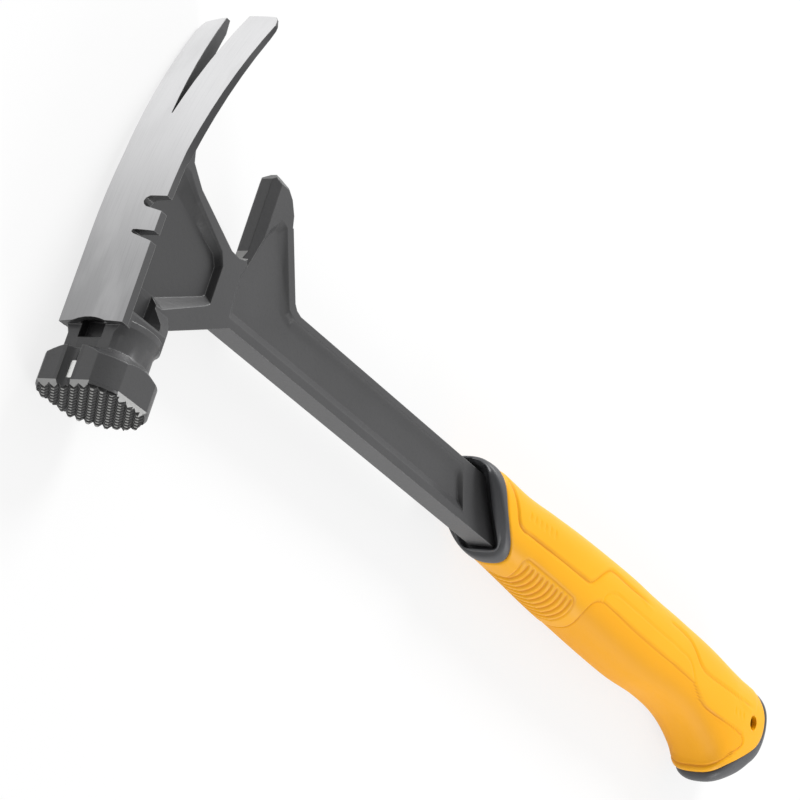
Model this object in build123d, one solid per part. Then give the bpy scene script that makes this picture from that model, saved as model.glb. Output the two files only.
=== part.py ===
from build123d import *
import os
from math import cos, radians, sin, sqrt

os.makedirs("parts", exist_ok=True)

# One-piece forged framing hammer, lying on its side.
# Working frame: X runs along the handle from the head's polished top to the butt,
# Y runs from the striking face towards the claws, Z = 0 is the middle plane.
# At the end everything is moved so that the part stands on Z = 0.

# ---------------------------------------------------------------- driving sizes
overall_length = 465.2        # polished top to butt
grip_length = 254.4           # butt to the back corner of the collar
bell_dia = 37.2               # round of the striking head
face_y = -24.5                # tips of the face teeth
bell_length = 11.8            # striking head, teeth included
neck_dia = 28.4
claw_tip_y = 123.2            # ends of the claws
strip_half = 13.35            # half width of the polished top
claw_tip_half = 17.05         # half width over the claw tips
flange_t = 3.1                # thickness of the polished top
crown = 1.3                   # rise of the polished top across its width
arc_y = 31.7                  # where the claw curve starts
arc_r = 235.0                 # radius of the claw curve
flare_y = 62.0                # where the top starts to widen into the claws
slot_apex = 77.5              # inner end of the nail slot
slot_tip_half = 4.9           # half width of the nail slot at the tips
claw_side_t = 3.0             # claw thickness along its outer edge
claw_ridge = 1.3              # extra thickness beside the slot
tip_edge_t = 0.8              # thickness left at the claw tips
board_width = 38.0            # board that the side jaw takes
board_clear = 4.3             # play of that board in the jaw
jaw_root_x = 56.4             # inner face of the side jaw
jaw_width = 16.0              # side jaw, inner face to back
jaw_tip_y = 85.4
jaw_tip_chamfer = 1.4
jaw_edge_bevel = 2.8
web_half = 5.2                # half thickness of shank, truss and jaw
pocket_floor = 2.1            # half thickness of the web in the head pocket
recess_floor = 3.2            # half thickness of the web in the shank
rim = 3.2                     # width of the shank's edges beside the recess
shank_back = 47.8             # claw side of the shank
shank_front = 26.4            # face side of the shank
tang_half_t = 3.0
tang_half_w = 6.8
lock_dia = 5.2                # holes that lock the core to the tang
tooth_pitch_u = 2.75
tooth_pitch_v = 3.1
tooth_depth = 1.25
tooth_turn = 41.0
groove_dia = 6.2              # nail-starter groove
groove_deep = 2.3
magnet_dia = 6.0
magnet_thick = 3.0
magnet_gap = 0.05             # play of the magnet in its seat, all round
grip_half_thick = 15.2        # half thickness of the grip at the palm
wall_sleeve = 3.2             # soft sleeve over the core
collar_width = 7.0
mouth_tilt = 39.0             # slant of the collar's mouth
ring_gap = 1.9                # sunk ring round the shank
ring_deep = 3.2
relief_deep = 0.8             # lines and ribs sunk in the sleeve
corner_share = 0.80           # corner radius of the grip, of its smaller half width
corner_steps = 5
rib_count = 11
rib_gap = 3.3
lanyard_dia = 6.4
lanyard_from_butt = 22.5
lanyard_wall = 4.0            # core between the tang and the lanyard hole

# ---------------------------------------------------------------- derived sizes
butt_x = overall_length
collar_back = butt_x - grip_length
shank_mid = (shank_back + shank_front) / 2
bell_r = bell_dia / 2
bell_x = bell_r * 0.669       # the bell's axis lies below the polished top
face_r = bell_r - 0.7
bell_front = face_y + tooth_depth + 0.1
bell_back = face_y + bell_length
neck_r = neck_dia / 2
neck_y = bell_back + 3.9
block_y0 = -0.6               # front of the block that carries the top
block_r = neck_r + 1.5
block_x1 = 27.2
top_flat_x = bell_x - bell_r * 0.815
side_flat = bell_r * 0.917
claw_inner_x = jaw_root_x - board_width - board_clear
jaw_back = jaw_root_x + jaw_width
jaw_heel = jaw_back + 17.1
tang_start = collar_back + 25.2
lanyard_x = butt_x - lanyard_from_butt
lanyard_y = shank_mid - 0.9
tang_end = lanyard_x - lanyard_dia / 2 - lanyard_wall


def poly(points, z=0.0):
    # closed outline in a plane parallel to XY
    return make_face(Polyline(*[(p[0], p[1], z) for p in points], close=True))


def prism(points, half):
    # outline in XY, extruded both ways from the middle plane
    return extrude(poly(points, -half), amount=2 * half, dir=(0, 0, 1))


def plan_prism(points, x0, x1):
    # outline given as (y, z), extruded along X
    wire = Polyline(*[(x0, p[0], p[1]) for p in points], close=True)
    return extrude(make_face(wire), amount=x1 - x0, dir=(1, 0, 0))


def draft_pocket(rim_line, floor_line, z_rim, z_floor):
    # tapered pocket between a rim outline and a floor outline, run past the rim
    over = 0.6
    k = (z_rim + over - z_floor) / (z_rim - z_floor)
    top = [(f[0] + (r[0] - f[0]) * k, f[1] + (r[1] - f[1]) * k)
           for r, f in zip(rim_line, floor_line)]
    return loft([poly(floor_line, z_floor), poly(top, z_rim + over)], ruled=True)


def both_sides(solid):
    return [solid, mirror(solid, about=Plane.XY)]


def box_at(x0, x1, y0, y1, z0, z1):
    mid = ((x0 + x1) / 2, (y0 + y1) / 2, (z0 + z1) / 2)
    return Pos(*mid) * Box(x1 - x0, y1 - y0, z1 - z0)


def edge_bevel(p, q, c):
    # wedges that take the corners off a side of the web, which lies left of p to q
    length = sqrt((q[0] - p[0]) ** 2 + (q[1] - p[1]) ** 2)
    dx, dy = (q[0] - p[0]) / length, (q[1] - p[1]) / length
    tools = []
    for side in (1, -1):
        tri = [(-c - 1, web_half + 1), (1, web_half - c - 1), (2, web_half + 1)]
        pts = [(p[0] + dy * a, p[1] - dx * a, z * side) for a, z in tri]
        tools.append(extrude(make_face(Polyline(*pts, close=True)), amount=length, dir=(dx, dy, 0)))
    return tools


def arc_x(y):
    # depth of the polished top below its flat part
    if y <= arc_y:
        return 0.0
    return arc_r - sqrt(arc_r ** 2 - (y - arc_y) ** 2)


# ---------------------------------------------------------------- polished top and claws
blank_half = claw_tip_half + 1.0
blank_t = 16.0
crown_r = (strip_half ** 2 + crown ** 2) / (2 * crown)


def blank_face(y):
    # cross-section of the top: crowned outside, straight inside
    edge = crown_r - sqrt(crown_r ** 2 - blank_half ** 2) - crown
    arc = ThreePointArc((edge, y, -blank_half), (-crown, y, 0), (edge, y, blank_half))
    side = Polyline((edge, y, blank_half), (blank_t, y, blank_half),
                    (blank_t, y, -blank_half), (edge, y, -blank_half))
    return make_face(Wire([arc] + list(side.edges())))


straight = extrude(blank_face(block_y0), amount=arc_y - block_y0, dir=(0, 1, 0))
claw_axis = Axis((arc_r, arc_y, 0), (0, 0, -1))
curved = revolve(blank_face(arc_y), axis=claw_axis, revolution_arc=26)
blank = straight + curved

# side view: even flange, then claws that thin out and end in a chisel edge
full_t = claw_side_t + claw_ridge
low = []
for back, t in ((claw_tip_y - flare_y, full_t), (50, full_t), (40, full_t), (31, full_t), (22, full_t),
                (16, full_t - 0.5), (10, full_t - 1.0), (5.5, full_t - 1.4), (0, tip_edge_t)):
    low.append((arc_x(claw_tip_y - back) + t, claw_tip_y - back))
strip_side = [(-4, block_y0), (flange_t, block_y0), (flange_t, flare_y - 17.0),
              (flange_t + 1.0, flare_y - 4.0)] + low
strip_side = strip_side + [(arc_x(claw_tip_y) - 6, claw_tip_y), (-4, claw_tip_y - 10)]
strip = blank & prism(strip_side, blank_half)

# view from the top: the strip flares into the claws, corners rounded off
strip_plan = [(block_y0 - 1, strip_half), (flare_y, strip_half), (claw_tip_y - 4.0, claw_tip_half),
              (claw_tip_y - 1.4, claw_tip_half - 0.8), (claw_tip_y + 0.4, claw_tip_half - 2.4)]
strip_plan = strip_plan + [(p[0], -p[1]) for p in reversed(strip_plan)]
strip = strip & plan_prism(strip_plan, -6, 40)

# underside of the claws slopes away from the slot to thin outer edges
roof = []
for side in (1, -1):
    sec = [(full_t, 2.0 * side), (claw_side_t, (claw_tip_half + 0.2) * side),
           (claw_side_t, (claw_tip_half + 3) * side), (claw_side_t + 14, (claw_tip_half + 3) * side),
           (claw_side_t + 14, 2.0 * side)]
    wire = Polyline(*[(p[0], arc_y, p[1]) for p in sec], close=True)
    tool = revolve(make_face(wire), axis=claw_axis, revolution_arc=26)
    roof.append(tool - box_at(-10, 60, 0, flare_y - 4, -30, 30))
strip = strip - roof

# nail slot between the claws, with bevelled top edges towards its inner end
slot = plan_prism([(slot_apex, 0.25), (claw_tip_y, slot_tip_half), (claw_tip_y + 4, slot_tip_half + 0.3),
                   (claw_tip_y + 4, -slot_tip_half - 0.3), (claw_tip_y, -slot_tip_half),
                   (slot_apex, -0.25)], -6, 40)
strip = strip - slot

# ---------------------------------------------------------------- truss, jaw and shank
web_outline = [
    (1.0, 2.0), (block_x1 - 5.2, 2.0), (block_x1, 10.0), (jaw_root_x + 0.4, shank_front),
    (tang_start, shank_front), (tang_start, shank_back),
    (jaw_heel, shank_back), (jaw_heel - 2.9, shank_back + 0.9), (jaw_heel - 4.9, shank_back + 2.6),
    (jaw_back, jaw_tip_y - 12.6), (jaw_back - 1.4, jaw_tip_y - 8.4), (jaw_back - 5.0, jaw_tip_y - 4.0),
    (jaw_back - 11.0, jaw_tip_y - 0.4), (jaw_root_x + 2.6, jaw_tip_y), (jaw_root_x, jaw_tip_y - 2.6),
    (jaw_root_x, shank_back + 7.8), (jaw_root_x - 0.8, shank_back + 4.6), (jaw_root_x - 3.1, shank_back + 2.5),
    (jaw_root_x - 5.8, shank_back + 1.7), (jaw_root_x - 10.4, shank_back + 2.0),
    (claw_inner_x + 8.9, 60.0), (claw_inner_x + 1.4, 65.8), (claw_inner_x, 69.8),
    (claw_inner_x - 3.9, 76.6), (claw_inner_x - 6.5, 79.6), (3.5, 77.0), (1.0, 62.0)]
web = prism(web_outline, web_half)

# the inner edges of the jaw and the edges of its tip are bevelled
jaw_bevel = edge_bevel((jaw_root_x, jaw_tip_y + 5), (jaw_root_x, shank_back + 2), jaw_edge_bevel)
for i in (10, 11, 12):
    jaw_bevel = jaw_bevel + edge_bevel(web_outline[i - 1], web_outline[i], jaw_tip_chamfer)
web = web - jaw_bevel

# triangular pocket on each side of the head
pocket_x = jaw_root_x - 12.1
pocket_rim = [(flange_t, 63.4), (15.2, 62.4), (23.6, 56.5), (pocket_x - 2.7, 47.2),
              (pocket_x, 43.0), (pocket_x, 29.0), (pocket_x - 1.7, 27.4), (23.6, 15.9), (flange_t, 15.9)]
pocket_low = [(flange_t, 57.0), (13.4, 54.6), (25.2, 51.0), (pocket_x - 3.5, 46.0),
              (pocket_x - 0.7, 42.4), (pocket_x - 0.7, 32.0), (pocket_x - 1.9, 30.8), (21.4, 19.2),
              (flange_t, 19.2)]
pocket = draft_pocket(pocket_rim, pocket_low, web_half, pocket_floor)

# long recess in each side of the shank, running up into the jaw
rec_end = collar_back + 0.2
lo = shank_front + rim
hi = shank_back - rim + 0.9
rec_rim = [(jaw_root_x - 1.6, lo), (jaw_root_x - 3.0, 44.7), (jaw_root_x + 4.2, jaw_tip_y - 19.0),
           (jaw_root_x + 8.2, jaw_tip_y - 13.2), (jaw_back - 4.0, jaw_tip_y - 14.4),
           (jaw_heel - 6.9, hi + 1.5), (jaw_heel - 3.0, hi), (rec_end - 8.6, hi), (rec_end, lo)]
rec_low = [(jaw_root_x + 1.2, lo + 3.2), (jaw_root_x - 0.4, 44.2), (jaw_root_x + 6.2, jaw_tip_y - 20.4),
           (jaw_root_x + 8.6, jaw_tip_y - 17.2), (jaw_back - 5.4, jaw_tip_y - 18.0),
           (jaw_heel - 8.3, hi - 1.3), (jaw_heel - 1.5, hi - 3.3), (rec_end - 9.4, hi - 3.3),
           (rec_end - 2.2, lo + 3.2)]
recess = draft_pocket(rec_rim, rec_low, web_half, recess_floor)
web = web - both_sides(pocket) - both_sides(recess)

# tang, inside the grip, with holes that lock the core
t_lo = shank_mid - tang_half_w
t_hi = shank_mid + tang_half_w
tang = prism([(tang_start - 4, t_lo - 1), (tang_end - 4, t_lo + 1.5), (tang_end, t_lo + 5),
              (tang_end, t_hi - 3), (tang_end - 4, t_hi), (tang_start - 4, t_hi + 1)], tang_half_t)
for f in (0.22, 0.52, 0.82):
    x = tang_start + (tang_end - tang_start) * f
    tang = tang - Pos(x, shank_mid, 0) * Cylinder(lock_dia / 2, 4 * tang_half_t)

# ---------------------------------------------------------------- block behind the neck
block_half = strip_half - 0.3
wedge_y = 19.2
wedge = plan_prism([(4.4, block_half), (wedge_y, pocket_floor), (wedge_y, -pocket_floor),
                    (4.4, -block_half)], 1.0, block_x1 - 0.2)
block = box_at(1.0, block_x1 - 0.2, block_y0, 4.4, -block_half, block_half)
round_end = Pos(bell_x, 8, 0) * Rot(90, 0, 0) * Cylinder(block_r, 40)
keep = round_end + box_at(0.0, bell_x, -8, 30, -strip_half, strip_half)
block = (block + wedge) & keep

# ---------------------------------------------------------------- bell, neck and face
prof = [(0, bell_front), (face_r, bell_front), (bell_r, bell_front + 0.7), (bell_r, bell_back),
        (neck_r, neck_y), (neck_r, block_y0 - 2.6), (block_r - 0.3, block_y0 + 0.4),
        (block_r - 0.3, 2.0), (0, 2.0)]
bell_axis = Axis((bell_x, 0, 0), (0, 1, 0))
bell = revolve(make_face(Polyline(*[(bell_x + r, y, 0) for r, y in prof], close=True)), axis=bell_axis)
face_disc = Pos(bell_x, face_y + tooth_depth / 2 + 0.2, 0) * Rot(90, 0, 0) * Cylinder(
    face_r - 0.1, tooth_depth + 0.4)
bell = bell + face_disc

# flats on the top and both sides of the bell, bevelled in front, and a step along the neck
front_bevel = 2.0
bell = bell - box_at(-40, top_flat_x, -40, neck_y, -40, 40)
for side in (1, -1):
    z0, z1 = sorted((side_flat * side, 60 * side))
    bell = bell - box_at(-40, 60, -40, neck_y, z0, z1)
    wedge_pts = [(0, face_y - 1, (side_flat - front_bevel * 0.75 - 0.5) * side),
                 (0, face_y + front_bevel + 1, (side_flat + 0.5) * side),
                 (0, face_y - 1, (side_flat + 3) * side)]
    cut = extrude(make_face(Polyline(*wedge_pts, close=True)), amount=80, dir=(1, 0, 0))
    bell = bell - Pos(-40, 0, 0) * cut
top_pts = [(top_flat_x + front_bevel * 0.75 + 0.5, face_y - 1, -40),
           (top_flat_x - 0.5, face_y + front_bevel + 1, -40), (top_flat_x - 3, face_y - 1, -40)]
bell = bell - extrude(make_face(Polyline(*top_pts, close=True)), amount=80, dir=(0, 0, 1))
neck_flat_x = 1.9
bell = bell - box_at(-40, neck_flat_x, neck_y - 1.4, 10, -40, 40)

# milled face: two sets of V cuts
cuts = []
for turn, pitch in ((tooth_turn, tooth_pitch_u), (tooth_turn + 90.0, tooth_pitch_v)):
    reach = int(face_r / pitch) + 1
    spread = pitch * 0.36
    for i in range(-reach, reach + 1):
        off = (i + 0.5) * pitch
        if abs(off) > face_r - 0.6:
            continue
        tri = Polyline((off, tooth_depth, 0), (off + spread * 1.2, -0.25, 0),
                       (off - spread * 1.2, -0.25, 0), close=True)
        bar = extrude(make_face(tri), amount=2 * face_r + 4, dir=(0, 0, 1))
        cuts.append(Pos(bell_x, face_y, 0) * Rot(0, turn, 0) * Pos(0, 0, -face_r - 2) * bar)
bell = bell - cuts

# nail starter: groove over the bell, seat for the magnet, room for the nail head
groove_r = groove_dia / 2
groove_x = top_flat_x + groove_deep - groove_r
groove_len = block_y0 - face_y + 4
groove = Pos(groove_x, block_y0 - groove_len / 2, 0) * Rot(90, 0, 0) * Cylinder(groove_r, groove_len)
groove = groove + box_at(-20, groove_x, block_y0 - groove_len, block_y0, -groove_r, groove_r)
magnet_y = (bell_front + bell_back) / 2 + 0.2
seat_x = top_flat_x + groove_deep - 0.2
seat = Pos(seat_x + magnet_thick / 2, magnet_y, 0) * Rot(0, 90, 0) * Cylinder(
    magnet_dia / 2 + magnet_gap, magnet_thick + 2 * magnet_gap)
head_room = Pos(-0.6, block_y0 - 1.4, 0) * Rot(90, 0, 0) * Cylinder(5.6, 6.4)
head_room = head_room - box_at(-12, flange_t - 1.2, block_y0 - 0.01, 10, -12, 12)
scallop = Pos(0, block_y0 - 20.0, 0) * Rot(0, 90, 0) * Cylinder(21.1, 12)

# ---------------------------------------------------------------- nail pullers in one edge of the top
puller_a = plan_prism([(38.6, strip_half + 2), (40.4, 7.0), (41.2, 5.9), (42.4, 5.3), (43.6, 5.9),
                       (44.4, 7.2), (44.8, strip_half + 2)], -6, flange_t + 0.8)
puller_b = plan_prism([(27.6, strip_half + 2), (30.4, 5.9), (31.1, 4.9), (31.9, 5.2),
                       (32.0, 6.4), (31.8, strip_half + 2)], -6, flange_t + 0.8)

forged_body = (strip - scallop) + web + tang + block + bell
forged_body = forged_body - groove - seat - head_room - puller_a - puller_b

starter_magnet = Pos(seat_x + magnet_thick / 2, magnet_y, 0) * Rot(0, 90, 0) * Cylinder(
    magnet_dia / 2, magnet_thick)

# ---------------------------------------------------------------- grip
# stations along the handle: distance from the butt, how far the grip stands out
# past the shank on the claw side and on the face side, change of half thickness
stations = [
    (261.2, 4.4, 3.6, -2.0), (243.2, 5.9, 3.0, -1.4), (221.2, 4.8, 3.4, -1.2),
    (201.2, 6.5, 4.5, -0.7), (181.2, 7.4, 5.8, -0.2), (161.2, 7.9, 6.6, 0.0),
    (137.2, 8.7, 7.5, 0.0), (111.2, 8.6, 8.0, 0.0), (89.2, 8.0, 6.8, -0.1),
    (71.2, 7.5, 6.4, -0.2), (57.4, 7.1, 8.8, -0.2), (44.6, 6.5, 14.6, -0.2),
    (33.9, 6.0, 19.6, -0.2), (23.7, 6.0, 20.8, -0.4), (13.9, 6.0, 15.8, -1.0),
    (6.6, 4.9, 8.6, -2.3), (2.2, 2.9, 2.4, -4.4), (0.0, -0.2, -5.2, -6.8)]


def section(st):
    # position, claw side, face side and half thickness at a station
    return butt_x - st[0], shank_back + st[1], shank_front - st[2], grip_half_thick + st[3]


def rounded_section(x, y_mid, w, h, r):
    # rounded rectangle square to X, its corners in small even steps
    pts = []
    for quarter, (sy, sz) in enumerate(((1, 1), (-1, 1), (-1, -1), (1, -1))):
        for k in range(corner_steps + 1):
            a = radians(90 * quarter + 90 * k / corner_steps)
            pts.append((x, y_mid + sy * (w - r) + r * cos(a), sz * (h - r) + r * sin(a)))
    return make_face(Polyline(*pts, close=True))


def grip_loft(inset):
    secs = []
    for st in stations:
        x, yb, yf, hz = section(st)
        w = (yb - yf) / 2 - inset
        h = hz - inset
        secs.append(rounded_section(x, (yb + yf) / 2, w, h, min(w, h) * corner_share))
    return loft(secs, ruled=True)


def core_loft():
    # eight-sided core under the sleeve
    secs = []
    for st in stations[::2] + [stations[-1]]:
        x, yb, yf, hz = section(st)
        w = (yb - yf) / 2 - wall_sleeve
        h = hz - wall_sleeve
        c = min(w, h) * 0.62
        m = (yb + yf) / 2
        pts = [(w, h - c), (w - c, h), (c - w, h), (-w, h - c), (-w, c - h), (c - w, -h), (w - c, -h), (w, c - h)]
        secs.append(make_face(Polyline(*[(x, m + p[0], p[1]) for p in pts], close=True)))
    return loft(secs, ruled=True)


def behind(x_back, tilt):
    # everything behind a slanted plane through a point above the shank's back
    block = box_at(0, 700, -500, 500, -60, 60)
    return Pos(x_back, shank_back + 3.2, 0) * Rot(0, 0, tilt) * block


def band(points, width):
    # strip of even width along a path in XY
    left = []
    right = []
    n = len(points)
    for i in range(n):
        a = points[max(i - 1, 0)]
        b = points[min(i + 1, n - 1)]
        d = sqrt((b[0] - a[0]) ** 2 + (b[1] - a[1]) ** 2)
        nx = -(b[1] - a[1]) / d * width / 2
        ny = (b[0] - a[0]) / d * width / 2
        left.append((points[i][0] + nx, points[i][1] + ny))
        right.append((points[i][0] - nx, points[i][1] - ny))
    return left + list(reversed(right))


def on_grip(points):
    # points given from the butt and from the handle's middle line
    return [(butt_x - p[0], shank_mid + p[1]) for p in points]


mouth = behind(collar_back, mouth_tilt)
behind_collar = behind(collar_back + collar_width, mouth_tilt + 5)
envelope = grip_loft(0.0) & mouth
inner = core_loft() & mouth

# butt pad: everything outside a line drawn inside the butt outline
pad_line = on_grip([(7.2, 33.0), (5.4, 13.0), (4.2, 4.0), (5.6, -3.6), (10.6, -10.1), (18.2, -17.6),
                    (27.2, -23.6), (36.2, -26.3), (44.2, -25.6), (51.2, -25.4)])
pad_zone = prism(pad_line + on_grip([(51.2, -57.0), (-30.0, -57.0), (-30.0, 33.0)]), 40)

collar = envelope - behind_collar
pad = envelope & pad_zone
grip_core = inner + collar + pad
grip_sleeve = ((envelope & behind_collar) - pad_zone) - inner

# sunk ring round the shank inside the collar
ring = prism([(collar_back - 20, shank_front - ring_gap), (collar_back + 45, shank_front - ring_gap),
              (collar_back + 45, shank_back + ring_gap), (collar_back - 20, shank_back + ring_gap)],
             web_half + ring_gap)
ring = ring - behind(collar_back + ring_deep, mouth_tilt)
steel_in_grip = box_at(collar_back - 8, butt_x - 10, -60, 100, -30, 30) & (web + tang)
grip_core = grip_core - ring - steel_in_grip

# hole for a lanyard
lanyard = Pos(lanyard_x, lanyard_y, 0) * Cylinder(lanyard_dia / 2, 60)
grip_core = grip_core - lanyard
grip_sleeve = grip_sleeve - lanyard

# relief of the grip: sunk lines and a patch of ribs, on both sides
palm_line = on_grip([(187.2, -25.1), (177.2, -17.6), (168.2, -6.6), (162.2, -3.1), (145.2, -3.1),
                     (76.6, -3.8), (72.9, -5.5), (68.8, -9.3), (63.2, -10.6), (51.0, -10.0), (39.2, -9.1)])
upper_line = on_grip([(237.2, 8.9), (230.2, 3.0), (227.2, -0.7), (213.0, -1.1), (175.2, -0.5),
                      (167.7, 2.9), (160.5, 9.1), (156.2, 10.9), (106.2, 10.9), (81.2, 8.9),
                      (71.2, 4.5), (63.2, 3.5), (35.2, 4.3)])
lines = [prism(band(palm_line, 1.3), 20), prism(band(upper_line, 1.1), 20)]
for i in range(rib_count):
    d = 220.2 - rib_gap * i
    lines.append(prism(band(on_grip([(d, -11.1), (d + 1.0, -15.1), (d + 3.6, -20.1), (d + 7.5, -26.0)]), 1.5), 20))
relief = [line - grip_loft(relief_deep) for line in lines]
grip_sleeve = grip_sleeve - relief

# ---------------------------------------------------------------- write the nodes
parts = {"forged_body": forged_body, "starter_magnet": starter_magnet,
         "grip_core": grip_core, "grip_sleeve": grip_sleeve}
boxes = [p.bounding_box() for p in parts.values()]
mid_x = (min(b.min.X for b in boxes) + max(b.max.X for b in boxes)) / 2
mid_y = (min(b.min.Y for b in boxes) + max(b.max.Y for b in boxes)) / 2
shift = Pos(-mid_x, -mid_y, -min(b.min.Z for b in boxes))

for name, shape in parts.items():
    solids = shape.solids()
    body = shift * (solids[0] if len(solids) == 1 else Compound(children=solids))
    export_step(body, "parts/" + name + ".step")
    print(name, len(solids), round(shape.volume), shape.is_valid)
print("shift", shift.position)
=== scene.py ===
import math
import bmesh
import bpy
import numpy as np
from mathutils import Matrix, Vector
from mathutils.kdtree import KDTree


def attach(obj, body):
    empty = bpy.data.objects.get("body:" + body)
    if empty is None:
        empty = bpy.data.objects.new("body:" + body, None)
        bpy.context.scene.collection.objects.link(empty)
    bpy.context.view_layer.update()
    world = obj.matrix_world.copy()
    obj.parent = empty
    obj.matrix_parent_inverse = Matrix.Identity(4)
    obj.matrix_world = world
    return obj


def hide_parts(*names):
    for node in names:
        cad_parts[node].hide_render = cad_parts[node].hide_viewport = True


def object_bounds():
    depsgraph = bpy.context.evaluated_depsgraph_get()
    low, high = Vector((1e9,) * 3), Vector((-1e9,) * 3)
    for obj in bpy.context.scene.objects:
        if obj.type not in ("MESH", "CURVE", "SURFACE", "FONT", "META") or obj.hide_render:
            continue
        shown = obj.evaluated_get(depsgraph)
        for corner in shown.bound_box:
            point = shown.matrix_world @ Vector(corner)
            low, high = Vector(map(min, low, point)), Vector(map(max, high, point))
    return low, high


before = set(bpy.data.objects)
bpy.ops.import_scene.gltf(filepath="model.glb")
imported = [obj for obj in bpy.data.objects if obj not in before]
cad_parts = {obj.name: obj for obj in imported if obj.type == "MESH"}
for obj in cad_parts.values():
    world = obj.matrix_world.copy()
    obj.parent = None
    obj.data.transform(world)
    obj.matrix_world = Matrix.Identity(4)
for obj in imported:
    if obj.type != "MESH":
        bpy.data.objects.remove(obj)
cad_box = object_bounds()
bpy.ops.object.select_all(action="DESELECT")

# ---------------------------------------------------------------- driving sizes, in millimetres
# the hammer's own axes: X from the polished top to the butt, Y from the face to
# the claws, Z = 0 in its middle plane
MM = 0.001
OVERALL = 465.2          # polished top to butt
FACE_Y = -24.5           # tips of the face's teeth
TEETH_FOOT = -23.2       # just behind the grooves between them
HEAD_BACK = -12.7        # back edge of the striking head
STRIP_HALF = 13.35       # half width of the polished top
FLARE_Y, FLARE_END = 62.0, 119.0   # where the claws start and stop growing wider
FLARE = 3.7              # how much wider they grow, on each side
ARC_Y, ARC_R = 31.7, 235.0   # where the claws' curve starts, and its radius
SEAT_X = (0.95, 5.0)     # seat for a nail's head, from near the top down
SEAT_Y = (-5.0, 1.5)     # the same, from front to back
SEAT_HALF = 4.9          # its half width
POCKET_FLOOR = 2.16      # half thickness of the web in the truss's pockets
WEB_HALF = 5.2           # half thickness of truss, jaw and shank
JAW_X, JAW_Y = 50.0, 49.0    # the jaw lies beyond both of these
JAW_BODY_Y = 78.0        # above this height the jaw's tip is drawn out
JAW_TIP_Y = 86.4
JAW_TIP_CUT = 3.7        # height of the corners cut off the tip
SHANK_END_X = 212.0      # where the shank goes into the collar
LANYARD_X, LANYARD_Y, LANYARD_R = 442.7, 36.2, 3.2
SLEEVE_WALL = 2.4

# the part lies on its side, in the middle of the frame: its axes are moved by this
box_low, box_high = [Vector(corner) / MM for corner in cad_box]
MOVE = Vector((box_high.x - OVERALL, box_low.y - FACE_Y, (box_low.z + box_high.z) / 2))
MOVE_MM = np.array(MOVE)


def placed(points):
    """Points on the hammer's axes, moved to the frame and in metres."""
    return (points + MOVE_MM) * MM


def on_axes(co):
    """A vertex's place on the hammer's axes."""
    return co / MM - MOVE


# ---------------------------------------------------------------- shader nodes
class Num:
    """A number that changes over a surface: operators add Math nodes."""

    def __init__(self, owner, socket):
        self.owner = owner
        self.socket = socket

    def op(self, kind, other=0.0, flip=False):
        a, b = (other, self) if flip else (self, other)
        return self.owner.node("ShaderNodeMath", {"operation": kind}, {0: a, 1: b})

    def __add__(self, o):
        return self.op("ADD", o)

    def __sub__(self, o):
        return self.op("SUBTRACT", o)

    def __rsub__(self, o):
        return self.op("SUBTRACT", o, flip=True)

    def __mul__(self, o):
        return self.op("MULTIPLY", o)

    def __gt__(self, o):
        return self.op("GREATER_THAN", o)

    def __lt__(self, o):
        return self.op("LESS_THAN", o)

    __radd__ = __add__
    __rmul__ = __mul__

    def most(self, o):
        return self.op("MAXIMUM", o)

    def size(self):
        return self.op("ABSOLUTE")

    def ramp(self, low, high):
        # 0 at low, 1 at high, smooth between
        return self.owner.node("ShaderNodeMapRange", {"interpolation_type": "SMOOTHSTEP"},
                               {"Value": self, "From Min": low, "From Max": high})


class Nodes:
    """A node tree, filled by one method."""

    def __init__(self, tree):
        self.tree = tree
        tree.nodes.clear()

    def feed(self, socket, value):
        # links a value that changes, or sets a plain one
        if isinstance(value, Num):
            self.tree.links.new(value.socket, socket)
        else:
            socket.default_value = value

    def node(self, kind, settings=(), sockets=(), out=0, whole=False):
        made = self.tree.nodes.new(kind)
        for name, value in dict(settings).items():
            setattr(made, name, value)
        for key, value in dict(sockets).items():
            self.feed(made.inputs[key], value)
        return made if whole else Num(self, made.outputs[out])


class Finish(Nodes):
    """One material, with positions in millimetres on the hammer's own axes."""

    def __init__(self, name):
        self.material = bpy.data.materials.new(name)
        self.material.use_nodes = True
        super().__init__(self.material.node_tree)
        self.shader = self.node("ShaderNodeBsdfPrincipled", whole=True)
        surface = Num(self, self.shader.outputs[0])
        self.node("ShaderNodeOutputMaterial", {}, {"Surface": surface}, whole=True)
        here = self.node("ShaderNodeTexCoord", out="Object")
        self.place = self.node("ShaderNodeMapping", {}, {
            "Vector": here, "Location": tuple(-MOVE), "Scale": (1 / MM, 1 / MM, 1 / MM)})
        parts = self.node("ShaderNodeSeparateXYZ", {}, {0: self.place}, whole=True)
        self.x, self.y, self.z = [Num(self, s) for s in parts.outputs]

    def noise(self, scale, detail=3.0, rough=0.5, at=None):
        return self.node("ShaderNodeTexNoise", {}, {
            "Vector": at or self.place, "Scale": scale, "Detail": detail, "Roughness": rough})

    def mix(self, share, a, b):
        # a where share is 0, b where it is 1; a and b are colours
        return self.node("ShaderNodeMix", {"data_type": "RGBA"}, {0: share, 6: a, 7: b}, out=2)

    def bump(self, height, depth, before=None):
        # depth in millimetres
        sockets = {"Height": height, "Distance": depth * MM}
        if before:
            sockets["Normal"] = before
        return self.node("ShaderNodeBump", {}, sockets)

    def wear(self, **sockets):
        # sets the shader's own sockets
        for key, value in sockets.items():
            self.feed(self.shader.inputs[key.replace("_", " ")], value)
        return self.material


def tone(r, g, b):
    # a colour as it looks on screen, 0 to 255, made linear
    def linear(c):
        c = c / 255
        return c / 12.92 if c <= 0.04045 else ((c + 0.055) / 1.055) ** 2.4
    return (linear(r), linear(g), linear(b), 1)


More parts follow.
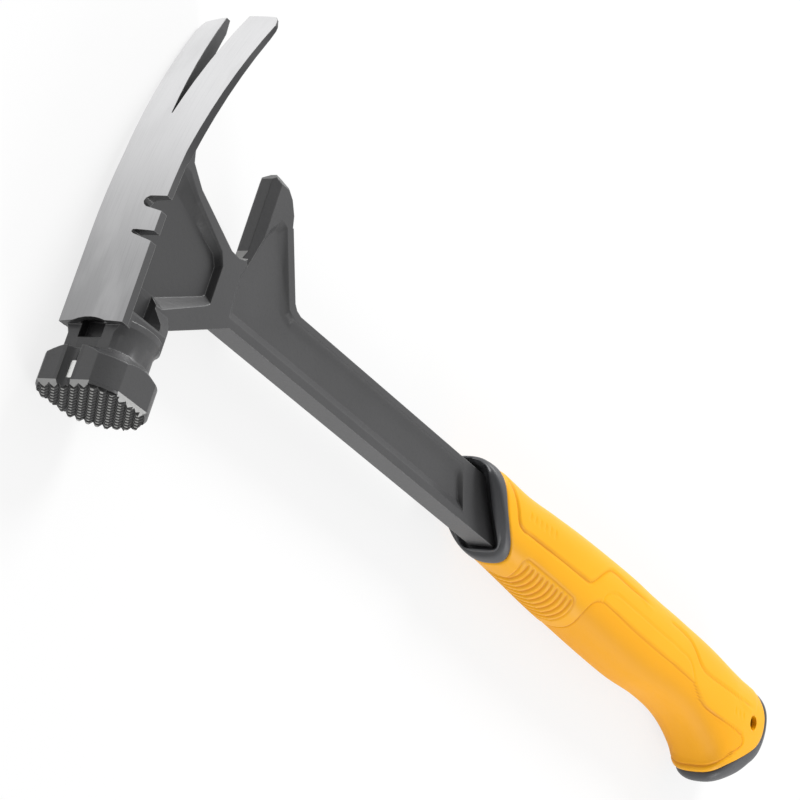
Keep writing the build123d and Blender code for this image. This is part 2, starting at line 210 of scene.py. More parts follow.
# ---------------------------------------------------------------- finishes
def forged_steel():
    # dark satin coating over forged steel, lighter on its edges: partly wear, partly painted highlight
    f = Finish("forged_steel")
    grain = f.noise(1.4, 4, 0.6)
    pits = f.noise(0.42, 2)
    cloud = f.noise(0.035, 3)
    rounded = f.node("ShaderNodeBevel", {"samples": 8}, {"Radius": 0.55 * MM})
    flat = f.node("ShaderNodeNewGeometry", out="Normal")
    edge = 1 - f.node("ShaderNodeVectorMath", {"operation": "DOT_PRODUCT"},
                      {0: rounded, 1: flat}, out="Value")
    side = f.z.size()
    col = f.mix(cloud, tone(60, 60, 61), tone(70, 70, 71))
    col = f.mix(grain.ramp(0.5, 0.75) * 0.3, col, tone(48, 48, 49))
    # painted shade: darker in the truss's pockets
    pocket_shade = (side < 4.4) * (f.x < 45)
    col = f.mix(pocket_shade * 0.5, col, tone(46, 46, 47))
    # painted highlight on convex and concave edges alike, partly standing for wear
    col = f.mix(edge.ramp(0.02, 0.22) * 0.6, col, tone(142, 142, 141))
    # darker on the claws' outer sides
    past_edge = side - f.y.ramp(FLARE_Y, FLARE_END) * FLARE - STRIP_HALF
    claw_side = past_edge.ramp(-0.45, -0.15) * f.y.ramp(50, 70)
    col = f.mix(claw_side * 0.9, col, tone(38, 38, 40))
    # painted shade: darkest in the seat for a nail's head and in the hollows behind the head's block
    seat = (side < SEAT_HALF + 0.05) * (f.x > 1.94) * (f.y > SEAT_Y[0] - 0.3) * (f.y < SEAT_Y[1] + 0.2)
    hollow = (f.x > 3.6) * (f.x < 20) * (f.y > 5.3) * (f.y < 17) * (side < 12.5)
    col = f.mix(seat.most(hollow * 0.5), col, tone(40, 40, 41))
    return f.wear(Base_Color=col, Roughness=grain * 0.14 + 0.33, Specular_IOR_Level=0.6,
                  Normal=f.bump(grain * 0.6 + pits * 0.8, 0.06, rounded))


def ground_steel():
    # bare steel with brushing along the head and round the claws; painted reflection makes it darker
    # towards the face and lighter towards the claws
    f = Finish("ground_steel")
    along = (f.y - ARC_Y).op("ARCTAN2", ARC_R - f.x) * ARC_R
    lie = f.node("ShaderNodeCombineXYZ", {}, {0: along, 1: f.z})
    grains = []
    for scale, squeeze in ((3.2, 0.014), (9.0, 0.01), (0.09, 0.4)):
        at = f.node("ShaderNodeMapping", {}, {"Vector": lie, "Scale": (squeeze, 1, 1)})
        grains.append(f.noise(scale, at=at))
    brush, fine, smear = grains
    # painted reflection: colour rises from the face's end to the claws
    painted_reflection = along.ramp(-34, 62)
    col = f.mix(painted_reflection, tone(158, 158, 159), tone(232, 232, 233))
    col = f.mix(brush.ramp(0.45, 0.75) * 0.3 * (1 - painted_reflection * 0.7), col, tone(132, 132, 133))
    col = f.mix(smear.ramp(0.45, 0.7) * 0.25, col, tone(208, 208, 209))
    return f.wear(Base_Color=col, Roughness=fine * 0.14 + 0.24, Metallic=1.0,
                  Normal=f.bump(brush + fine * 0.5, 0.015))


def milled_steel():
    # the struck teeth: light on their tips, black between them; partly wear, partly painted highlight on
    # the tips and painted shade in the grooves
    f = Finish("milled_steel")
    depth = f.y - FACE_Y
    # painted highlight on the tips, painted shade deepening into the grooves
    col = f.mix(depth.ramp(0.02, 0.2), tone(150, 150, 148), tone(46, 46, 46))
    col = f.mix(depth.ramp(0.3, 1.0), col, tone(10, 10, 10))
    return f.wear(Base_Color=col, Roughness=0.5, Specular_IOR_Level=0.35,
                  Normal=f.bump(f.noise(2.0), 0.05))


def bared_steel():
    # bevels that were ground through the coating, not polished; on the head's back edge and the jaw's
    # root, partly a painted highlight
    f = Finish("bared_steel")
    scratch = f.noise(4.0, 4, 0.65)
    return f.wear(Base_Color=f.mix(scratch, tone(142, 142, 141), tone(172, 172, 171)),
                  Roughness=scratch * 0.2 + 0.34, Metallic=0.35, Normal=f.bump(scratch, 0.04))


def plated():
    f = Finish("plated_magnet")
    turn_marks = f.noise(5.0)
    return f.wear(Base_Color=f.mix(turn_marks, tone(214, 214, 212), tone(236, 236, 235)),
                  Roughness=turn_marks * 0.12 + 0.14, Metallic=1.0)


def soft_yellow():
    # moulded grip: satin, the palm panel finer and deeper in colour, the cut lines darker as painted shade
    # in their grooves
    f = Finish("yellow_rubber")
    cut = f.node("ShaderNodeAttribute", {"attribute_name": "cut"}, out=2)
    palm = f.node("ShaderNodeAttribute", {"attribute_name": "palm"}, out=2)
    grain = f.noise(3.4, 3, 0.6)
    cloud = f.noise(0.03, 2)
    col = f.mix(cloud, tone(244, 170, 2), tone(248, 178, 6))
    col = f.mix(palm * 0.8, col, tone(242, 166, 0))
    # painted shade along the cut lines and ribs
    col = f.mix(cut.ramp(0.25, 1.0) * 0.75, col, tone(224, 142, 0))
    col = f.mix(grain.ramp(0.55, 0.8) * 0.12, col, tone(238, 164, 4))
    return f.wear(Base_Color=col, Roughness=palm * 0.1 + grain * 0.16 + 0.38, Specular_IOR_Level=0.3,
                  Normal=f.bump(grain * (palm * 1.2 + 0.5), 0.045))


def hard_plastic():
    f = Finish("dark_plastic")
    grain = f.noise(2.6, 4, 0.6)
    cloud = f.noise(0.05, 2)
    col = f.mix(cloud, tone(64, 65, 67), tone(76, 77, 80))
    col = f.mix(grain.ramp(0.5, 0.8) * 0.25, col, tone(50, 51, 53))
    return f.wear(Base_Color=col, Roughness=grain * 0.16 + 0.40, Normal=f.bump(grain, 0.05))


# ---------------------------------------------------------------- the grip's outer skin
# along the handle: x, claw-side edge, face-side edge, half thickness
GRIP = [(204.0, 52.2, 22.8, 13.2), (222.0, 53.5, 23.4, 13.8), (244.0, 52.9, 23.0, 14.0),
        (264.0, 54.1, 21.9, 14.5), (284.0, 55.2, 20.6, 15.0), (304.0, 55.9, 19.8, 15.2),
        (328.0, 56.4, 18.9, 15.2), (354.0, 56.3, 18.6, 15.2), (376.0, 55.9, 20.0, 15.2),
        (394.0, 55.9, 19.3, 14.9), (407.8, 55.6, 16.3, 14.8), (420.7, 54.8, 11.0, 15.1),
        (429.2, 54.5, 5.2, 15.2), (436.5, 54.2, 5.7, 15.1), (448.3, 54.2, 12.4, 14.2),
        (456.3, 53.4, 19.1, 12.9), (461.1, 50.8, 23.2, 10.9), (464.7, 47.4, 29.4, 8.5),
        (465.1, 43.3, 34.2, 4.2), (465.1, 38.7, 38.66, 0.02)]
# seen from the side: the collar's mouth, and the seams of collar to sleeve and sleeve to butt pad
MOUTH = [(242.0, 18.0), (239.6, 20.6), (236.4, 23.6), (232.6, 27.0), (228.2, 31.0), (222.6, 36.8),
         (216.6, 44.0), (210.8, 51.0), (206.7, 56.0)]
COLLAR_SEAM = [(248.0, 20.0), (244.6, 22.6), (240.4, 25.8), (236.6, 28.6), (231.6, 32.2),
               (227.4, 36.4), (224.2, 41.3), (222.4, 45.6), (220.9, 50.0), (219.4, 55.0)]
BUTT_SEAM = [(424.0, 4.0), (427.3, 6.6), (432.4, 12.6), (438.2, 17.4), (444.0, 21.8), (449.6, 26.2),
             (453.6, 30.2), (455.9, 34.6), (456.3, 38.4), (455.4, 42.6), (453.6, 46.4), (451.6, 49.6),
             (449.0, 55.0)]
ROUND = 2.6              # how square the section's corners are
COLUMNS = 168            # points round the section
QUARTER, HALF = COLUMNS // 4, COLUMNS // 2


def through(points, steps):
    """Points on a smooth curve through the given ones."""
    p = np.array(points, float)
    p = np.vstack([2 * p[0] - p[1], p, 2 * p[-1] - p[-2]])
    t = np.linspace(0, 1, steps, endpoint=False)[:, None]
    runs = [b + (c - a) * t / 2 + (2 * a - 5 * b + 4 * c - d) * t ** 2 / 2
            + (3 * b - a - 3 * c + d) * t ** 3 / 2 for a, b, c, d in zip(p, p[1:], p[2:], p[3:])]
    return np.vstack(runs + [p[-2:-1]])


def ease(value, low, high):
    """0 at low, 1 at high, smooth between."""
    t = np.clip((value - low) / (high - low), 0, 1)
    return t * t * (3 - 2 * t)


line = through(GRIP, 40)
line[:, 0] = np.minimum(line[:, 0], OVERALL)
travel = np.r_[0, np.cumsum(np.sqrt((np.diff(line, axis=0) ** 2 * (1, 0.4, 0.4, 0.3)).sum(1)))]

# the skin: one row per step of the line, one column per angle round the section
angle = np.linspace(0, 2 * np.pi, COLUMNS, endpoint=False)
lobe = (abs(np.cos(angle)) ** ROUND + abs(np.sin(angle)) ** ROUND) ** (-1 / ROUND)
middle, reach = (line[:, 1] + line[:, 2]) / 2, (line[:, 1] - line[:, 2]) / 2
skin_x = line[:, 0]
skin_y = middle[:, None] + reach[:, None] * lobe * np.cos(angle)
skin_z = line[:, 3][:, None] * lobe * np.sin(angle)

# height in the side view, carried on over the surface round the face side
edge = np.hypot(np.roll(skin_y, -1, 1) - skin_y, np.roll(skin_z, -1, 1) - skin_z)
skin_v = np.zeros(skin_y.shape)
skin_v[:, HALF + 1:] = np.cumsum(edge[:, HALF:-1], 1)
skin_v[:, :HALF] = np.cumsum(edge[:, :HALF][:, ::-1], 1)[:, ::-1]
skin_v += (middle - skin_v[:, [QUARTER, 3 * QUARTER]].mean(1))[:, None]


def at_travel(s, skin):
    """Values of the skin where each column has come s along the handle."""
    return np.stack([np.interp(s[:, j], travel, skin[:, j]) for j in range(COLUMNS)], 1)


def on_skin(s):
    """Points of the skin: one row of s per ring, one column per angle."""
    return np.stack([np.interp(s, travel, skin_x), at_travel(s, skin_y), at_travel(s, skin_z)], 2)


def seam_x(seam, y):
    """Where a seam lies along the handle at height y."""
    path = through(seam, 8)
    return np.interp(y, path[:, 1], path[:, 0])


def crossing(seam):
    """Where each column of the skin first passes a seam."""
    past = skin_x[:, None] - seam_x(seam, skin_y)
    found = np.argmax(past > 0, axis=0)
    cols = np.arange(COLUMNS)
    a, b = past[found - 1, cols], past[found, cols]
    return travel[found - 1] + (travel[found] - travel[found - 1]) * a / (a - b)


at_mouth = crossing(MOUTH)
at_seam = crossing(COLLAR_SEAM)
at_pad = crossing(BUTT_SEAM)
at_end = np.full(COLUMNS, travel[-1])


def rows(start, end, steps):
    """Steps from 0 to 1 between two places on each column."""
    t = np.asarray(steps)[:, None]
    return start * (1 - t) + end * t


def outward(points):
    """Unit normals of a grid of skin points."""
    along = np.gradient(points, axis=0)
    around = np.roll(points, -1, 1) - np.roll(points, 1, 1)
    n = np.cross(around, along)
    n /= np.maximum(np.linalg.norm(n, axis=2, keepdims=True), 1e-9)
    return n * np.sign(n[len(n) // 2, QUARTER, 2])


def woven(name, points, closed=True):
    """A piece from a grid primitive wrapped onto rings of points.

    Closed, its last ring joins its first; if not, each end is shut by a face of its own.
    """
    rings, cols = points.shape[:2]
    last = rings if closed else rings - 1
    bpy.ops.mesh.primitive_grid_add(x_subdivisions=last, y_subdivisions=cols, size=2)
    piece = bpy.context.active_object
    piece.name = piece.data.name = name
    flat_co = np.empty(len(piece.data.vertices) * 3)
    piece.data.vertices.foreach_get("co", flat_co)
    flat_co = flat_co.reshape(-1, 3)
    i = np.rint((flat_co[:, 0] + 1) / 2 * last).astype(int) % rings
    j = np.rint((flat_co[:, 1] + 1) / 2 * cols).astype(int) % cols
    piece.data.vertices.foreach_set("co", placed(points[i, j]).ravel())
    bpy.ops.object.mode_set(mode="EDIT")
    bpy.ops.mesh.select_all(action="SELECT")
    bpy.ops.mesh.remove_doubles(threshold=2e-6)
    bpy.ops.mesh.fill_holes(sides=0)
    bpy.ops.mesh.normals_make_consistent(inside=False)
    bpy.ops.object.mode_set(mode="OBJECT")
    bpy.ops.object.shade_smooth()
    return piece


def note(piece, name, values, points):
    """Keeps a value per vertex on a piece, found again by place after its doubles were merged."""
    tree = KDTree(values.size)
    for k, co in enumerate(placed(points.reshape(-1, 3))):
        tree.insert(co, k)
    tree.balance()
    flat_values = values.ravel()
    layer = piece.data.attributes.new(name, "FLOAT", "POINT")
    layer.data.foreach_set("value", [float(flat_values[tree.find(v.co)[1]]) for v in piece.data.vertices])


# ---------------------------------------------------------------- relief of the sleeve
# seen from the side: x along the handle, and height in the side view, carried on
# round the face side as the way over the surface
PALM = [(300.0, 9.6), (299.8, 12.3), (299.1, 15.0), (297.8, 18.3), (296.4, 22.0), (295.8, 25.6),
        (296.9, 29.2), (299.8, 31.9), (303.6, 33.3), (309.0, 33.6), (336.0, 32.8), (380.0, 32.6),
        (387.6, 31.9), (391.8, 30.3), (397.0, 28.1), (403.0, 27.3), (411.0, 27.3), (430.4, 27.9),
        (435.2, 27.3), (437.4, 25.0), (436.2, 22.4), (433.0, 19.6), (429.6, 15.8), (426.4, 10.6),
        (424.7, 5.0), (424.2, -1.6)]
UPPER = [(224.3, 51.5), (227.3, 48.0), (231.6, 42.2), (235.2, 37.2), (239.4, 35.6), (246.0, 35.8),
         (267.0, 36.1), (286.6, 36.2), (291.0, 36.6), (294.2, 38.8), (298.2, 43.0), (302.6, 46.5),
         (307.6, 48.0), (325.0, 47.8), (345.0, 47.8)]
REAR = [(357.0, 48.2), (366.6, 48.1), (375.6, 47.4), (381.0, 45.0), (386.0, 42.0), (390.4, 40.3),
        (396.4, 39.8), (407.0, 40.3), (420.0, 41.0), (443.6, 42.3)]
STRIPE = [(303.3, 34.0), (303.7, 35.8), (305.4, 37.7), (309.2, 39.7), (316.2, 40.5), (340.5, 40.4),
          (370.0, 40.0), (378.2, 39.2), (382.4, 36.9), (385.4, 34.2), (389.0, 32.4)]
FRAME = [(257.2, 12.0), (255.2, 15.4), (252.8, 19.0), (250.6, 22.6), (249.1, 25.4), (249.8, 27.4),
         (253.0, 28.0), (266.0, 27.7), (282.0, 27.2), (286.2, 26.6), (288.0, 24.4), (289.4, 21.1),
         (290.9, 17.0), (292.2, 13.6), (293.4, 10.4)]
RIB = [(0.0, 25.5), (1.1, 22.6), (2.4, 19.2), (3.6, 15.8), (5.2, 11.0)]
RIB_COUNT, RIB_START, RIB_GAP = 10, 253.0, 3.55
FRONT_COUNT, FRONT_START, FRONT_GAP = 6, 241.2, 3.75    # short marks near the collar
BACK_COUNT, BACK_START, BACK_GAP = 3, 423.4, 3.8        # and near the lanyard's hole
LINE_DEEP, RIB_DEEP, PALM_DEEP, PANEL_HIGH = 0.5, 0.66, 0.3, 0.3
ROUND_THE_BACK, ROUND_THE_FACE = 90.0, -20.0            # heights past the sleeve's own


def apart(x, y, points, smooth=6):
    """Distance from a smooth line, and how far along it from 0 to 1."""
    p = through(points, smooth)
    best = np.full(x.shape, 1e9)
    share = np.zeros(x.shape)
    for k, (a, b) in enumerate(zip(p, p[1:])):
        d = b - a
        t = np.clip(((x - a[0]) * d[0] + (y - a[1]) * d[1]) / (d @ d), 0, 1)
        gap = np.hypot(x - a[0] - t * d[0], y - a[1] - t * d[1])
        near = gap < best
        best = np.where(near, gap, best)
        share = np.where(near, (k + t) / (len(p) - 1), share)
    return best, share


def within(x, y, points):
    """Signed distance from a closed outline, positive inside."""
    outline = points + points[:1]
    gap, _ = apart(x, y, outline, 4)
    p = through(outline, 4)
    inside = np.zeros(x.shape, bool)
    for a, b in zip(p, p[1:]):
        if a[1] != b[1]:
            here = (b[0] - a[0]) * (y - a[1]) / (b[1] - a[1]) + a[0]
            inside ^= ((a[1] > y) != (b[1] > y)) & (x < here)
    return np.where(inside, gap, -gap)


def channel(x, y, points, half, fade=0.04):
    """1 in the middle of a line, 0 at half a width from it and, with fade, at its ends."""
    gap, share = apart(x, y, points)
    ends = np.minimum(ease(share, 0, fade), ease(1 - share, 0, fade)) if fade else 1
    return (1 - ease(gap, 0.15 * half, half)) * ends


def panel(x, y, line_below):
    """1 on the raised panel between a line and the back of the grip."""
    first, last = line_below[0][0], line_below[-1][0]
    return ease(within(x, y, line_below + [(last, ROUND_THE_BACK), (first, ROUND_THE_BACK)]), -0.4, 1.4)


def relief(x, y):
    """Height of the moulded relief, how deep it is cut from 0 to 1, and where the palm panel is."""
    lines = channel(x, y, PALM, 0.85, 0)
    for path, half_wide, share in ((UPPER, 0.85, 1), (REAR, 0.8, 0.8), (STRIPE, 0.7, 0.6)):
        lines = np.maximum(lines, channel(x, y, path, half_wide) * share)
    lines = np.maximum(lines, channel(x, y, FRAME, 0.75, 0) * 0.8)
    ribs = np.zeros(x.shape)
    for k in range(RIB_COUNT):
        path = [(RIB_START + RIB_GAP * k + a, b) for a, b in RIB]
        ribs = np.maximum(ribs, channel(x, y, path, 1.1, 0))
    for k in range(FRONT_COUNT):
        top = FRONT_START + FRONT_GAP * k
        path = [(top, 44.0 + 0.28 * k), (top + 0.5, 42.3 + 0.2 * k), (top - 0.4, 40.4 + 0.1 * k)]
        ribs = np.maximum(ribs, channel(x, y, path, 0.95, 0.3) * 0.55)
    for k in range(BACK_COUNT):
        top, rise = BACK_START + BACK_GAP * k, 0.4 * k
        path = [(top, 36.2 + rise), (top + 1.3, 35.0 + rise), (top + 1.6, 33.2 + rise)]
        ribs = np.maximum(ribs, channel(x, y, path, 0.8, 0.3) * 0.4)
    palm = within(x, y, PALM + [(424.2, ROUND_THE_FACE), (300.0, ROUND_THE_FACE)])
    raised = np.maximum(panel(x, y, UPPER) * ease(x, 348, 330), panel(x, y, REAR) * ease(x, 354, 372))
    high = PANEL_HIGH * raised - LINE_DEEP * lines - RIB_DEEP * ribs - PALM_DEEP * ease(palm, -0.4, 1.6)
    return high, np.maximum(lines, ribs), ease(palm, -0.3, 0.6)


# ---------------------------------------------------------------- the grip's three visible pieces
def yellow_sleeve():
    """Outer skin with its relief and rounded ends, and a wall inside."""
    places = rows(at_seam, at_pad, np.linspace(0, 1, 401))
    base = on_skin(places)
    facing = outward(base)
    high, cut, palm = relief(base[..., 0], at_travel(places, skin_v))
    turned_in = (-0.75, -0.32, -0.1)
    lip = np.r_[turned_in, np.zeros(len(base) - 2 * len(turned_in)), turned_in[::-1]]
    outer = base + facing * (high + lip[:, None])[..., None]
    inner = (base - facing * SLEEVE_WALL)[::-20]
    skin = np.concatenate([outer, inner])
    piece = woven("sleeve", skin)
    for name, values in (("cut", cut), ("palm", palm)):
        note(piece, name, np.concatenate([values, np.zeros(inner.shape[:2])]), skin)
    return piece


# rings of the collar's mouth, from its edge down into the sunk ring round the shank:
# half height, half thickness, squareness, and how far along the handle
MOUTH_RINGS = ((13.7, 10.8, 5, -0.7), (13.0, 9.8, 6, -0.8), (12.6, 9.3, 7, -0.3), (12.4, 9.1, 7, 0.6),
               (12.2, 8.8, 7, 3.2), (11.9, 8.4, 7, 4.0), (9.5, 4.2, 7, 4.4))
MOUTH_MID = 37.6         # middle of those rings, as high as the shank's
COLLAR_PROUD = (-1.5, -0.5, -0.05, 0.15, 0.3, 0.35, 0.38, 0.4, 0.4, 0.4, 0.38, 0.3, 0.15, -0.15, -0.7)


def collar():
    """Outer skin a little proud, rounded mouth, sunk ring round the shank."""
    base = on_skin(rows(at_mouth, at_seam, np.linspace(0, 1, len(COLLAR_PROUD))))
    outer = base + outward(base) * np.array(COLLAR_PROUD)[:, None, None]
    rings = list(outer[::-1])
    for half_high, half_thick, square, deeper in MOUTH_RINGS:
        across = abs(np.cos(angle) / half_high) ** square + abs(np.sin(angle) / half_thick) ** square
        r = across ** (-1 / square)
        y = MOUTH_MID + r * np.cos(angle)
        rings.append(np.stack([deeper + seam_x(MOUTH, y), y, r * np.sin(angle)], 1))
    first = len(outer)
    rings[first] = rings[first - 1] * 0.45 + rings[first] * 0.55
    back = rings[-1] * 0.3 + rings[0] * 0.7
    back[:, 0] += 3.0
    return woven("collar", np.stack(rings + [back]))


PAD_CORE = (446.0, 33.0, 0.0)   # the pad's hidden end is drawn in round this point


def butt_pad():
    """Skin beyond the seam, closed at the end and inside the sleeve."""
    steps = 1 - (1 - np.linspace(0, 1, 70)) ** 1.3
    base = on_skin(rows(at_pad, at_end, steps))
    turned_in = (-1.1, -0.55, -0.2, -0.05)
    lip = np.r_[turned_in, np.zeros(len(base) - len(turned_in))]
    base = base + outward(base) * lip[:, None, None]
    hidden = [PAD_CORE + (base[0] - PAD_CORE) * k for k in (0.002, 0.5, 0.9)]
    return woven("butt_pad", np.concatenate([np.stack(hidden), base]), closed=False)


def subtract(piece, tool):
    """Cuts a tool's shape out of a piece."""
    cut = piece.modifiers.new("cut", "BOOLEAN")
    cut.operation = "DIFFERENCE"
    cut.solver = "EXACT"
    cut.object = tool
    bpy.context.view_layer.objects.active = piece
    bpy.ops.object.modifier_apply(modifier="cut")


sleeve, mouth_collar, pad = yellow_sleeve(), collar(), butt_pad()

# a hole for a lanyard, through the sleeve and the butt pad
bpy.ops.mesh.primitive_cylinder_add(vertices=48, radius=LANYARD_R * MM, depth=60 * MM,
                                    location=(Vector((LANYARD_X, LANYARD_Y, 0)) + MOVE) * MM)
drill = bpy.context.active_object
bpy.ops.object.transform_apply(location=True, rotation=True, scale=True)
for piece in (sleeve, pad):
    subtract(piece, drill)
bpy.data.objects.remove(drill)


# ---------------------------------------------------------------- the forged steel
def edit(piece, kind):
    """Opens one piece in edit mode with nothing selected, and gives its mesh."""
    bpy.ops.object.select_all(action="DESELECT")
    piece.select_set(True)
    bpy.context.view_layer.objects.active = piece
    bpy.ops.object.mode_set(mode="EDIT")
    bpy.ops.mesh.select_mode(type=kind)
    bpy.ops.mesh.select_all(action="DESELECT")
    return bmesh.from_edit_mesh(piece.data)


def steel_copy(node, name):
    """A copy of a solid's mesh with its doubles merged and its flat faces made whole."""
    piece = node.copy()
    piece.data = node.data.copy()
    piece.name = piece.data.name = name
    piece.parent = None
    piece.matrix_world = Matrix()
    bpy.context.scene.collection.objects.link(piece)
    edit(piece, "VERT")
    bpy.ops.mesh.select_all(action="SELECT")
    bpy.ops.mesh.remove_doubles(threshold=2e-6)
    bpy.ops.mesh.dissolve_limited(angle_limit=math.radians(0.6))
    bpy.ops.object.mode_set(mode="OBJECT")
    return piece


def round_off(piece, width, steps, wanted):
    """Bevels the edges that wanted() picks by their ends and their faces' normals."""
    shape = edit(piece, "EDGE")
    for e in shape.edges:
        if len(e.link_faces) == 2:
            a, b = [on_axes(v.co) for v in e.verts]
            folded = e.calc_face_angle(0.0) > math.radians(20)
            e.select_set(folded and wanted(a, b, [face.normal for face in e.link_faces]))
    bmesh.update_edit_mesh(piece.data)
    bpy.ops.mesh.bevel(offset=width * MM, segments=steps, profile=0.5, affect="EDGES", clamp_overlap=True)
    bpy.ops.object.mode_set(mode="OBJECT")


def cut_off(piece, point, normal, wanted):
    """Cuts off what lies beyond a plane, on faces with a corner that wanted() picks, and closes it."""
    shape = edit(piece, "FACE")
    for face in shape.faces:
        face.select_set(any(wanted(on_axes(v.co)) for v in face.verts))
    bmesh.update_edit_mesh(piece.data)
    bpy.ops.mesh.bisect(plane_co=(Vector(point) + MOVE) * MM, plane_no=normal, use_fill=True,
                        clear_outer=True)
    bpy.ops.object.mode_set(mode="OBJECT")


def carve(piece, low, high, z_low, z_high):
    """Cuts a tapered hollow between two outlines of (x, y) at two heights."""
    bpy.ops.object.select_all(action="DESELECT")
    bpy.ops.mesh.primitive_cylinder_add(vertices=len(low), radius=1, depth=2)
    tool = bpy.context.active_object
    for corner in tool.data.vertices:
        on_top = corner.co.z > 0
        x, y = (high if on_top else low)[corner.index // 2]
        corner.co = (Vector((x, y, z_high if on_top else z_low)) + MOVE) * MM
    bpy.ops.object.mode_set(mode="EDIT")
    bpy.ops.mesh.select_all(action="SELECT")
    bpy.ops.mesh.normals_make_consistent(inside=False)
    bpy.ops.object.mode_set(mode="OBJECT")
    subtract(piece, tool)
    bpy.data.objects.remove(tool)


def on_jaw(place):
    return place.x > JAW_X and place.y > JAW_Y


def web_rim(a, b, normals):
    """Edges of the flat sides of truss, jaw and shank."""
    on_side = abs(abs(a.z) - WEB_HALF) < 0.01 and abs(abs(b.z) - WEB_HALF) < 0.01
    return on_side and min(a.x, b.x) > 20 and max(a.x, b.x) < SHANK_END_X


def jaw_back_rim(a, b, normals):
    """The long sloping edges down the jaw's back."""
    (x0, x1), (y0, y1) = sorted((a.x, b.x)), sorted((a.y, b.y))
    near = x0 > 71.5 and x1 < 86 and y0 > 49.5 and y1 < 73.5
    return web_rim(a, b, normals) and near and y1 - y0 > 15 and a.x + a.y * 0.545 > 111


def head_back(a, b, normals):
    """Edges between the head's sides and the slope behind them."""
    low, high = sorted(n.y for n in normals)
    at_back = HEAD_BACK - 0.1 < min(a.y, b.y) < HEAD_BACK + 3
    return at_back and abs(low) < 0.1 and 0.6 < high < 0.8


def shape_steel(piece):
    """The forging's own finer forms."""
    # hollows behind the block that carries the head, open to the pockets of the truss
    for side in (1, -1):
        carve(piece, [(3.3, 6.0), (17.4, 6.0), (19.8, 9.6), (20.2, 20.2), (3.3, 20.2)],
              [(3.3, 5.0), (18.6, 5.0), (22.0, 9.0), (22.4, 20.2), (3.3, 20.2)],
              POCKET_FLOOR * side, 16.0 * side)
    # the seat for a nail's head runs on under the edge of the polished top
    seat = [(SEAT_X[0], SEAT_Y[0]), (SEAT_X[1], SEAT_Y[0]), (SEAT_X[1], SEAT_Y[1]), (SEAT_X[0], SEAT_Y[1])]
    carve(piece, seat, seat, -SEAT_HALF, SEAT_HALF)
    # the jaw's tip, drawn out by a seventh and cut at both corners
    for corner in piece.data.vertices:
        place = on_axes(corner.co)
        if place.x > JAW_X and place.y > JAW_BODY_Y and abs(place.z) < 6:
            corner.co.y += (place.y - JAW_BODY_Y) * 0.14 * MM
    for side in (1, -1):
        corner_at = (60, JAW_TIP_Y - JAW_TIP_CUT, WEB_HALF * side)
        cut_off(piece, corner_at, (0, 0.72, 0.69 * side), on_jaw)
    # rounded edges
    round_off(piece, 1.35, 1, jaw_back_rim)
    round_off(piece, 0.9, 2, web_rim)
    round_off(piece, 0.5, 2, head_back)


def polished(mid, normal):
    """The outer face of the top and the claws."""
    if mid.y < ARC_Y:
        return normal.x < -0.9 and mid.x < 0.6 and mid.y > -1
    out = Vector((mid.x - ARC_R, mid.y - ARC_Y, 0))
    return out.length > ARC_R - 1.4 and normal.dot(out.normalized()) > 0.9


def bared(mid, normal):
    """The ground bevels in front of the head's flats, and the head's back edge and the root of the jaw,
    these two bared partly as a painted highlight.
    """
    square = abs(normal.z) < 0.05 and normal.x < -0.3 or abs(normal.x) < 0.05 and abs(normal.z) > 0.3
    front = mid.y < -19 and normal.y < -0.3 and square
    # back edge and jaw's root: partly bare steel, partly painted highlight
    back = HEAD_BACK - 0.7 < mid.y < HEAD_BACK + 3 and 0.1 < normal.y < 0.72
    root = 49 < mid.x < 56.7 and 48.5 < mid.y < 55.6 and abs(normal.z) < 0.75
    return front or back or root


def finish_steel(piece):
    """Coating, polished top and claws, bared bevels and milled teeth, face by face."""
    piece.data.materials.clear()
    for finish in (forged_steel(), ground_steel(), bared_steel(), milled_steel()):
        piece.data.materials.append(finish)
    bpy.ops.object.shade_smooth_by_angle(angle=math.radians(18))
    even = piece.modifiers.new("even_light", "WEIGHTED_NORMAL")
    even.keep_sharp = True
    even.weight = 90
    bpy.ops.object.modifier_apply(modifier="even_light")
    coated, ground, bare, milled = range(4)
    for face in piece.data.polygons:
        mid = on_axes(face.center)
        face.material_index = (ground if polished(mid, face.normal) else
                               bare if bared(mid, face.normal) else
                               milled if mid.y < TEETH_FOOT else coated)


steel = steel_copy(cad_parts["forged_body"], "forged_steel")
shape_steel(steel)
finish_steel(steel)

# ---------------------------------------------------------------- pieces on the frame
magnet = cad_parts["starter_magnet"]
magnet.data.materials.clear()
magnet.data.materials.append(plated())
yellow, dark = soft_yellow(), hard_plastic()
for piece, finish, stands_for, slot in (
        (sleeve, yellow, "grip_sleeve", "yellow_grip"), (mouth_collar, dark, "grip_core", "dark_grip"),
        (pad, dark, "grip_core", "dark_grip"), (steel, None, "forged_body", "dark_steel")):
    if finish:
        piece.data.materials.append(finish)
    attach(piece, "root")
    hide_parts(stands_for)


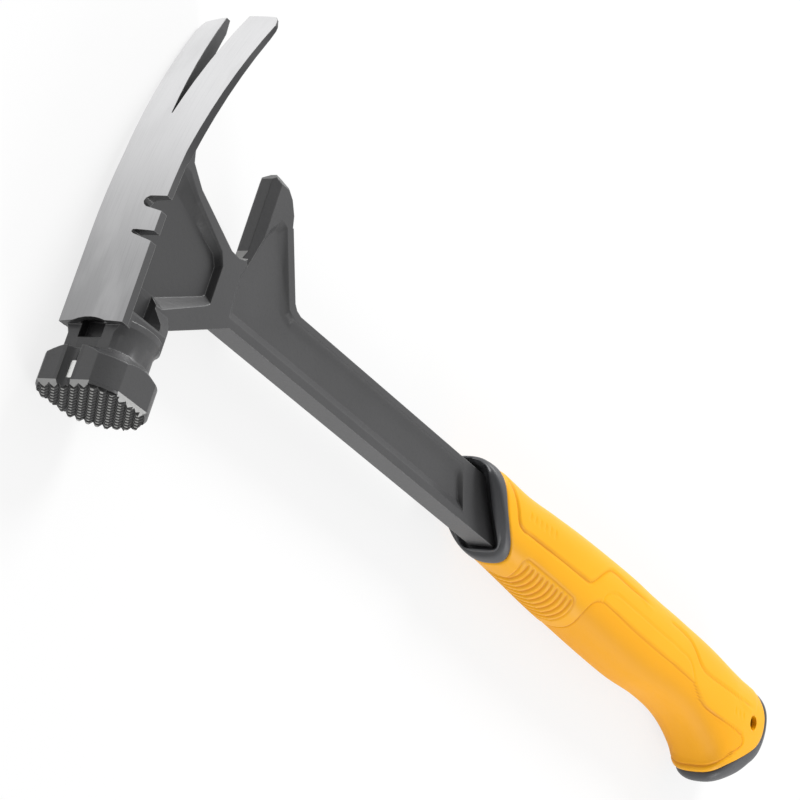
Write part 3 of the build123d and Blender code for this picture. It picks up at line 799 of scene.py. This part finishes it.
# ---------------------------------------------------------------- floor, light and camera
def paper():
    # white, keeping its shadows, and bright enough to look white to the camera and in gloss
    material = bpy.data.materials.new("paper")
    material.use_nodes = True
    n = Nodes(material.node_tree)
    ray = n.node("ShaderNodeLightPath", whole=True)
    seen, mirrored = [Num(n, ray.outputs[name]) for name in ("Is Camera Ray", "Is Glossy Ray")]
    plain = n.node("ShaderNodeBsdfDiffuse", {}, {"Color": (0.9, 0.9, 0.9, 1)})
    glow = n.node("ShaderNodeEmission", {}, {"Color": (1, 1, 1, 1)})
    both = n.node("ShaderNodeMixShader", {}, {0: seen.most(mirrored) * 0.8, 1: plain, 2: glow})
    n.node("ShaderNodeOutputMaterial", {}, {"Surface": both}, whole=True)
    return material


# a little under the part, whose lowest points are at 0
bpy.ops.mesh.primitive_plane_add(size=6, location=(0, 0, -0.0004))
floor = bpy.context.active_object
floor.name = "floor"
floor.data.materials.append(paper())


def white_room(dark_side):
    # light from all round, weaker from one side
    world = bpy.data.worlds.new("studio")
    world.use_nodes = True
    n = Nodes(world.node_tree)
    way = n.node("ShaderNodeTexCoord", out="Generated")
    towards = n.node("ShaderNodeVectorMath", {"operation": "DOT_PRODUCT"},
                     {0: way, 1: dark_side}, out="Value")
    level = n.node("ShaderNodeMapRange", {"interpolation_type": "SMOOTHSTEP"}, {
        "Value": towards, "From Min": 0.4, "From Max": 0.9, "To Min": 0.72, "To Max": 0.38})
    room = n.node("ShaderNodeBackground", {}, {"Color": (1, 1, 1, 1), "Strength": level})
    n.node("ShaderNodeOutputWorld", {}, {"Surface": room}, whole=True)
    return world


def soft_light(name, place, aim, size, power):
    bpy.ops.object.light_add(type="AREA", location=place)
    lamp = bpy.context.active_object
    lamp.name = name
    lamp.data.shape = "DISK"
    lamp.data.size = size
    lamp.data.energy = power
    lamp.rotation_mode = "QUATERNION"
    lamp.rotation_quaternion = (Vector(aim) - Vector(place)).to_track_quat("-Z", "Y")


bpy.context.scene.world = white_room((-0.7345, -0.3456, 0.5840))
soft_light("key", (0.1, 1.5, 1.05), (0, 0, 0), 0.7, 26)
soft_light("fill", (1.0, -1.2, 0.8), (0.16, 0, 0), 0.9, 13)

bpy.ops.object.camera_add(location=(-0.83084, -0.35575, 0.62216))
camera = bpy.context.active_object
turn = Matrix(((0.5136, -0.4434, -0.7345), (0.2793, 0.8959, -0.3456), (0.8113, -0.0277, 0.5840)))
camera.rotation_mode = "QUATERNION"
camera.rotation_quaternion = turn.to_quaternion()
camera.data.lens = 128.62
camera.data.sensor_width = 36
camera.data.clip_start = 0.05
camera.data.clip_end = 20
bpy.context.scene.camera = camera
bpy.context.scene.view_settings.view_transform = "Standard"
